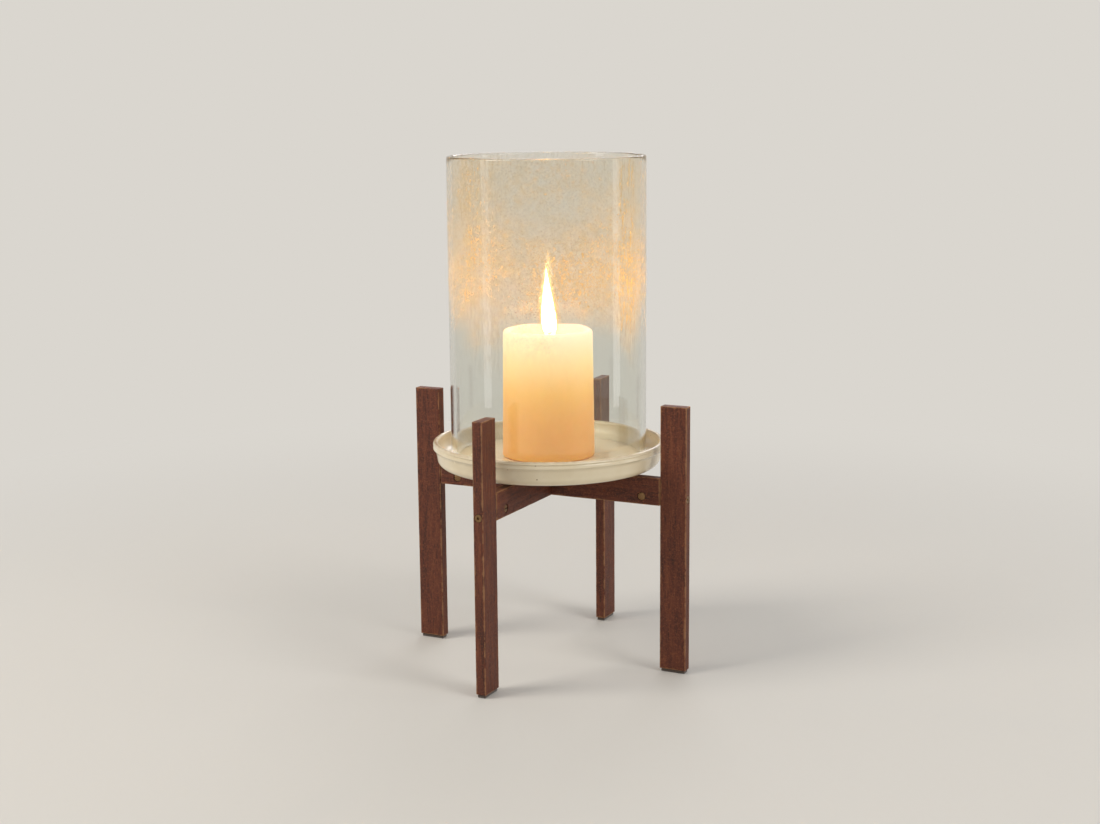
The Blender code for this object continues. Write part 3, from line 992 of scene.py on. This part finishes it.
def stained_wood(node, grain_axis, seed):
    """Rough-sawn softwood under a dark red-brown stain: streaked grain and open pores along the slat, paler
    flecks that are partly painted glints, faint saw marks across it, a dull sheen, and edges rubbed back to
    paler wood that is partly a painted highlight."""
    material, tree, spot = new_finish("dark_stained_sawn_wood_" + node)
    drawn_out = one_axis(grain_axis, GRAIN_DRAW, 1)
    fibres = add(tree, "Mapping", {"Vector": spot, "Location": (seed, seed, seed), "Scale": drawn_out})
    streaky = {"Vector": fibres, "Scale": 1 / WOOD_STREAK, "Detail": 6, "Roughness": 0.65, "Distortion": 0.6}
    streaks = add(tree, "TexNoise", streaky)
    tone = add(tree, "ValToRGB", [streaks])
    fill_ramp(tone, WOOD_TONE)
    pores = blotches(tree, fibres, WOOD_PORE, (0.56, 0.70), (0, 0.75), Detail=3)
    pored = add(tree, "Mix", [pores, tone, colour("200E08")], data_type="RGBA")
    # Paler flecks: partly the grain of the rough wood, partly painted glints of its sawn surface
    grains = add(tree, "TexNoise", {"Vector": spot, "Scale": 1 / WOOD_FLECK, "Detail": 4, "Roughness": 0.7})
    flecks = add(tree, "MapRange", {"Value": grains, "From Min": 0.50, "From Max": 0.70, "To Max": 0.75})
    flecked = add(tree, "Mix", [flecks, pored, colour("8E5032")], data_type="RGBA")
    worn = rubbed_and_highlit_edges(tree, spot, node)
    # Paler edges: rubbed wear and a painted highlight along them
    worn_and_highlit_tone = add(tree, "Mix", [worn, flecked, colour("A87A52")], data_type="RGBA")
    blade = add(tree, "Mapping", {"Vector": spot, "Scale": one_axis(grain_axis, 1, SAW_DRAW)})
    saw_marks = add(tree, "TexNoise", {"Vector": blade, "Scale": 1 / SAW_MARK, "Detail": 3})
    grooves = add(tree, "Math", [streaks, saw_marks], operation="ADD")
    height = add(tree, "Math", [grooves, grains], operation="ADD")
    relief = add(tree, "Bump", {"Height": height, "Strength": 0.8, "Distance": 0.45 * MM})
    rough = add(tree, "MapRange", {"Value": grains, "To Min": 0.42, "To Max": 0.72})
    look = {
        "Base Color": worn_and_highlit_tone,
        "Roughness": rough,
        "IOR": 1.5,
        "Specular IOR Level": 0.35,
        "Normal": relief,
    }
    return finished(material, add(tree, "BsdfPrincipled", look))


# Screws, barrel nuts and their holes

SCREW_DIAMETER = 3 * MM
SCREW_HEAD_DIAMETER = 5.6 * MM
SCREW_HEAD_EDGE = 0.3 * MM
SCREW_TIP = 0.8 * MM
KEY_SIZE = 2 * MM
KEY_DEPTH = 1.2 * MM
KEY_SIDES = 6
NUT_EASE = 0.3 * MM
NUT_SLOT = 1 * MM
NUT_SLOT_DEPTH = 0.7 * MM
FASTENER_STEPS = 48
HALF_STEP = math.pi / FASTENER_STEPS

PLATE_PATCH = 1.8 * MM

# Coarser than real scratches, so that they show
PLATE_SCRATCH = 0.3 * MM


def outward(side):
    """Unit vector from the centre line towards one side of the stand."""
    angle = math.radians(SIDES[side])
    return Vector((round(math.cos(angle)), round(math.sin(angle)), 0))


def span(node, direction):
    """How near and how far a node reaches along a direction from the centre line."""
    low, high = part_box(node)
    return sorted((low.dot(direction), high.dot(direction)))


def along_side(side, shape):
    """Lays a shape that was turned about Z down along the screw of one side, with +Z pointing outwards."""
    screw = "leg_screw_" + side
    face = span(screw, outward(side))[1]
    place = Matrix.Translation(outward(side) * face + UP * middle(screw).z)
    turn = outward(side).to_track_quat("Z", "Y").to_matrix().to_4x4()
    bmesh.ops.transform(shape, matrix=place @ turn, verts=shape.verts)
    return shape


def screw_outline(side, gap, rise):
    """A countersunk head, a plain shank and a blunt tip, from the head's face down."""
    inner, outer = span("leg_screw_" + side, outward(side))
    head = SCREW_HEAD_DIAMETER / 2 + gap
    shank = SCREW_DIAMETER / 2 + gap
    length = outer - inner + gap
    return [
        (0, rise),
        (head, rise),
        (head, -SCREW_HEAD_EDGE),
        (shank, -SCREW_HEAD_EDGE - (head - shank)),
        (shank, SCREW_TIP - length),
        (shank - SCREW_TIP / 2, -length),
        (0, -length),
    ]


def screw_hole(side):
    return along_side(side, turned(screw_outline(side, SEAT_GAP, CUT_MARGIN), FASTENER_STEPS))


def dowel_hole(side):
    node = "dowel_" + side
    inner, outer = span(node, outward(side))
    level = UP * middle(node).z
    start = outward(side) * (inner - SEAT_GAP) + level
    end = outward(side) * (outer + SEAT_GAP) + level
    return rod(extent(node).z / 2 + SEAT_GAP, start, end, FASTENER_STEPS)


def nut_hole(side):
    centre = middle("barrel_nut_" + side)
    size = extent("barrel_nut_" + side)
    across = outward(side).cross(UP)
    reach = abs(size.dot(across)) / 2 + CUT_MARGIN
    return rod(size.z / 2 + SEAT_GAP, centre - across * reach, centre + across * reach, FASTENER_STEPS)


def make_screw(side, steel):
    """A countersunk screw with a socket for a hex key."""
    node = "leg_screw_" + side
    key = rod(KEY_SIZE / math.sqrt(3), (0, 0, -KEY_DEPTH), (0, 0, CUT_MARGIN), KEY_SIDES)
    # Half a step round, so that no corner of the key falls on a spoke of the head
    bmesh.ops.rotate(key, cent=(0, 0, 0), matrix=Matrix.Rotation(HALF_STEP, 3, "Z"), verts=key.verts)
    shape = along_side(side, bored(turned(screw_outline(side, 0, 0), FASTENER_STEPS), [key]))
    add_piece(node + "_fine", shape, [steel], "stand", [node])


def make_nut(side, steel):
    """A cross nut with eased ends and a driver slot in one of them."""
    node = "barrel_nut_" + side
    centre = middle(node)
    size = extent(node)
    across = UP.cross(outward(side))
    reach = abs(size.dot(across)) / 2
    barrel = rod(size.z / 2, centre - across * reach, centre + across * reach, FASTENER_STEPS)
    rims = [edge for edge in barrel.edges if abs((edge.verts[0].co - edge.verts[1].co).dot(across)) < WELD]
    ease(barrel, rims, NUT_EASE)
    face = centre + across * reach
    slot_reach = outward(side) * size.z + UP * NUT_SLOT / 2 + across * NUT_SLOT_DEPTH
    shape = bored(barrel, [block(face - slot_reach, face + slot_reach), screw_hole(side)])
    add_piece(node + "_fine", shape, [steel], "stand", [node])


def plated_metal(name, dull, bright):
    """Thin plating on steel: a faint patchy sheen and fine turning scratches."""
    material, tree, spot = new_finish(name)
    patches, plate = mottle(tree, spot, PLATE_PATCH, dull, bright, Detail=4)
    rough = add(tree, "MapRange", {"Value": patches, "To Min": 0.24, "To Max": 0.46})
    scratches = add(tree, "TexNoise", {"Vector": spot, "Scale": 1 / PLATE_SCRATCH, "Detail": 2})
    relief = add(tree, "Bump", {"Height": scratches, "Strength": 0.2, "Distance": 0.03 * MM})
    look = {"Base Color": plate, "Metallic": 1.0, "Roughness": rough, "Normal": relief}
    return finished(material, add(tree, "BsdfPrincipled", look))


# Felt pads

FELT_GRID = 0.8 * MM
FELT_CUTS = 9
FELT_EASE = 0.5 * MM
FELT_FRAY = 0.25 * MM
FELT_LUMP = 2.5 * MM

# Coarser than real fibres, so that they show
FELT_FIBRE = 0.6 * MM


def make_felt(side, felt):
    """A soft pad with rounded edges and frayed sides."""
    node = "felt_pad_" + side
    low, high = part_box(node)
    centre = middle(node)
    shape = block(low, high)
    ease(shape, shape.edges[:], FELT_EASE)
    long_edges = [edge for edge in shape.edges if edge.calc_length() > 2 * FELT_GRID]
    bmesh.ops.subdivide_edges(shape, edges=long_edges, cuts=FELT_CUTS, use_grid_fill=True)
    for vert in shape.verts:
        fray = FELT_FRAY * share(vert.co, FELT_LUMP, seed=2)
        flat = (vert.co - centre) * Vector((1, 1, 0))
        if low.z + WELD < vert.co.z < high.z - WELD:
            vert.co -= flat.normalized() * fray
    add_piece(node + "_soft", shape, [felt], "stand", [node])


def brown_felt():
    """Pressed wool felt: matt brown with tangled paler fibres."""
    material, tree, spot = new_finish("pressed_brown_felt")
    tangle, wool = mottle(tree, spot, FELT_FIBRE, "2E241D", "5E4C3E", Detail=5, Distortion=2.0)
    nap = add(tree, "Bump", {"Height": tangle, "Strength": 0.8, "Distance": 0.3 * MM})
    look = {
        "Base Color": wool,
        "Roughness": 0.95,
        "Normal": nap,
        "Sheen Weight": 0.4,
        "Sheen Roughness": 0.6,
    }
    return finished(material, add(tree, "BsdfPrincipled", look))


# The whole stand


def make_stand():
    steel = plated_metal("bronze_plated_steel", "6A5038", "9A7A56")
    felt = brown_felt()
    for number, side in enumerate(SIDES):
        make_leg(side, number * LEG_SEED_STEP)
        make_screw(side, steel)
        make_nut(side, steel)
        make_felt(side, felt)
    for node, (sides, lap_above, seed) in CROSSBARS.items():
        make_crossbar(node, sides, lap_above, seed)


# Dowels and wick tab, which stay as they were packed

BEECH_FLECK = 1.2 * MM


def beech():
    """Plain beech dowel stock: pale pinkish brown with short dark flecks."""
    material, tree, spot = new_finish("beech_dowel_stock")
    flecks, tone = mottle(tree, spot, BEECH_FLECK, "B98D62", "D3B188", Detail=4)
    fibre = add(tree, "Bump", {"Height": flecks, "Strength": 0.3, "Distance": 0.1 * MM})
    surface = add(tree, "BsdfPrincipled", {"Base Color": tone, "Roughness": 0.6, "Normal": fibre})
    return finished(material, surface)


def dress_kept_nodes():
    wood = beech()
    kept = {"dowel_" + side: wood for side in SIDES}
    kept["wick_tab"] = plated_metal("bright_tin_plate", "A9A9A6", "CFCDC6")
    for name, finish in kept.items():
        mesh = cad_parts[name].data
        mesh.materials.clear()
        mesh.materials.append(finish)


# Stage and lamps

BACKDROP = "DAD6CF"
FLOOR_DROP = 0.2 * MM
FLOOR_RADIUS = 4.0
FLOOR_STEPS = 96

# Distances from the object between which the floor fades into the backdrop
FLOOR_PLAIN = 0.35
FLOOR_FADED = 1.0

WORLD_LIGHT = 0.42

# Soft lamps: place, size, power in watts and colour
SOFTBOXES = {
    "key_softbox": ((-1.3, -1.3, 1.7), (1.0, 1.4), 26, "FFFAF2"),
    "side_softbox": ((1.7, -0.4, 1.3), (0.8, 1.0), 12, "FFFFFF"),
    "back_softbox": ((-0.5, 1.8, 1.3), (1.2, 1.0), 10, "F6F8FF"),
}

# Strip lamps, by their turn in degrees from the camera round the object
STRIPS = {"left_strip": -72, "right_strip": 84}
STRIP_REACH = 1.2
STRIP_SIZE = (0.22, 0.70)
STRIP_POWER = 0.9
STRIP_COLOUR = "FFFFFF"


def make_floor():
    shape = bmesh.new()
    bmesh.ops.create_circle(shape, cap_ends=True, segments=FLOOR_STEPS, radius=FLOOR_RADIUS)
    bmesh.ops.translate(shape, vec=(0, 0, -FLOOR_DROP), verts=shape.verts)
    floor = solid_of("floor", shape)
    floor.data.materials.append(pale_floor())


def pale_floor():
    """Matt pale paint that takes the shadow near the object and fades into the backdrop further out."""
    material, tree, spot = new_finish("pale_matt_floor")
    reach = add(tree, "VectorMath", [spot], operation="LENGTH")
    fade = add(tree, "MapRange", [reach, FLOOR_PLAIN, FLOOR_FADED], interpolation_type="SMOOTHSTEP")
    paint = add(tree, "BsdfDiffuse", {"Color": colour(BACKDROP)})
    far = add(tree, "Emission", {"Color": colour(BACKDROP), "Strength": 1.0})
    surface = add(tree, "MixShader", [fade, paint, far])
    return finished(material, surface)


def make_world():
    """An even soft light all round. Camera, mirror and glass rays see the plain backdrop instead."""
    world = bpy.data.worlds.new("studio")
    world.use_nodes = True
    bpy.context.scene.world = world
    tree = world.node_tree
    tree.nodes.clear()
    rays = add(tree, "LightPath").outputs
    seen = add(tree, "Math", [rays["Is Camera Ray"], rays["Is Glossy Ray"]], operation="MAXIMUM")
    plain = add(tree, "Math", [seen, rays["Is Transmission Ray"]], operation="MAXIMUM")
    light = add(tree, "Background", {"Color": colour("FFFFFF"), "Strength": WORLD_LIGHT})
    backdrop = add(tree, "Background", {"Color": colour(BACKDROP), "Strength": 1.0})
    sky = add(tree, "MixShader", [plain, light, backdrop])
    add(tree, "OutputWorld", {"Surface": sky})


def add_softbox(name, place, aim, size, power, tint):
    lamp = bpy.data.lights.new(name, "AREA")
    lamp.shape = "RECTANGLE"
    lamp.size, lamp.size_y = size
    lamp.energy = power
    lamp.color = colour(tint)[:3]
    obj = placed(name, lamp)
    obj.location = place
    obj.rotation_euler = (Vector(aim) - Vector(place)).to_track_quat("-Z", "Y").to_euler()
    obj.visible_camera = False
    obj.visible_transmission = False


def make_lamps():
    """Large soft lamps above, and two low strips whose long reflections show the round of the glass."""
    aim = (0, 0, cad_box[1][2] / 2)
    for name, (place, size, power, tint) in SOFTBOXES.items():
        add_softbox(name, place, aim, size, power, tint)
    for name, turn in STRIPS.items():
        angle = CAMERA_AZIMUTH + math.radians(turn)
        place = (STRIP_REACH * math.sin(angle), -STRIP_REACH * math.cos(angle), STRIP_SIZE[1] / 2)
        add_softbox(name, place, (0, 0, place[2]), STRIP_SIZE, STRIP_POWER, STRIP_COLOUR)


# Camera, fitted to the glass rim, the dish rim and the leg tops in the photograph

IMAGE_WIDTH = 1100
FOCAL_PIXELS = 1750
SENSOR_WIDTH = 36
CAMERA_AZIMUTH = 0.4585
CAMERA_DISTANCE = 1322.5 * MM
CAMERA_HEIGHT = 436.8 * MM
CAMERA_PITCH = 0.1822
CAMERA_YAW = -0.0009
CAMERA_ROLL = -0.0086


def make_camera():
    camera = bpy.data.cameras.new("camera")
    camera.sensor_fit = "HORIZONTAL"
    camera.sensor_width = SENSOR_WIDTH
    camera.lens = FOCAL_PIXELS / IMAGE_WIDTH * SENSOR_WIDTH
    obj = placed("camera", camera)
    x = CAMERA_DISTANCE * math.sin(CAMERA_AZIMUTH)
    y = -CAMERA_DISTANCE * math.cos(CAMERA_AZIMUTH)
    place = Matrix.Translation((x, y, CAMERA_HEIGHT))
    turn = Matrix.Rotation(CAMERA_AZIMUTH + CAMERA_YAW, 4, "Z")
    tilt = Matrix.Rotation(math.pi / 2 - CAMERA_PITCH, 4, "X")
    roll = Matrix.Rotation(CAMERA_ROLL, 4, "Z")
    obj.matrix_world = place @ turn @ tilt @ roll
    bpy.context.scene.camera = obj


make_glass()
make_dish()
make_candle()
make_wick()
make_flame()
make_stand()
dress_kept_nodes()
make_floor()
make_world()
make_lamps()
make_camera()
bpy.context.scene.view_settings.view_transform = "Standard"

bpy.context.view_layer.update()
